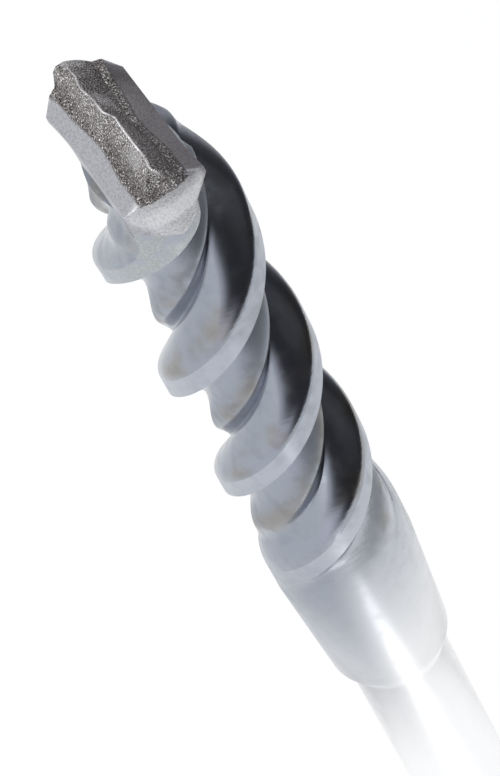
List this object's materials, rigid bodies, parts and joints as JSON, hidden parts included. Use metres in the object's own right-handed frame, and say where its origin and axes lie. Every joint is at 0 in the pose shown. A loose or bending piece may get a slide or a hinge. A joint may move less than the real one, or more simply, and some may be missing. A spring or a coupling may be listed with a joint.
{
  "type": "hammer drill bit",
  "caption": "Masonry hammer drill bit with a right-hand helical flute, a wavy-ridged hard metal head brazed on its tip and a slotted plug-in shank.",
  "frame": {"origin": "centre of the flat end of the shank", "axes": "+Z along the bit towards the cutting edge; the head's two wings reach along Y"},
  "size_m": [0.0142, 0.0164, 0.14],
  "materials": {
    "steel": "ground and blasted, pale satin",
    "carbide": "bare sintered grain, with ground sides"
  },
  "bodies": {
    "root": {"steel_body": "steel", "carbide_head": "carbide"}
  },
  "joints": []
}
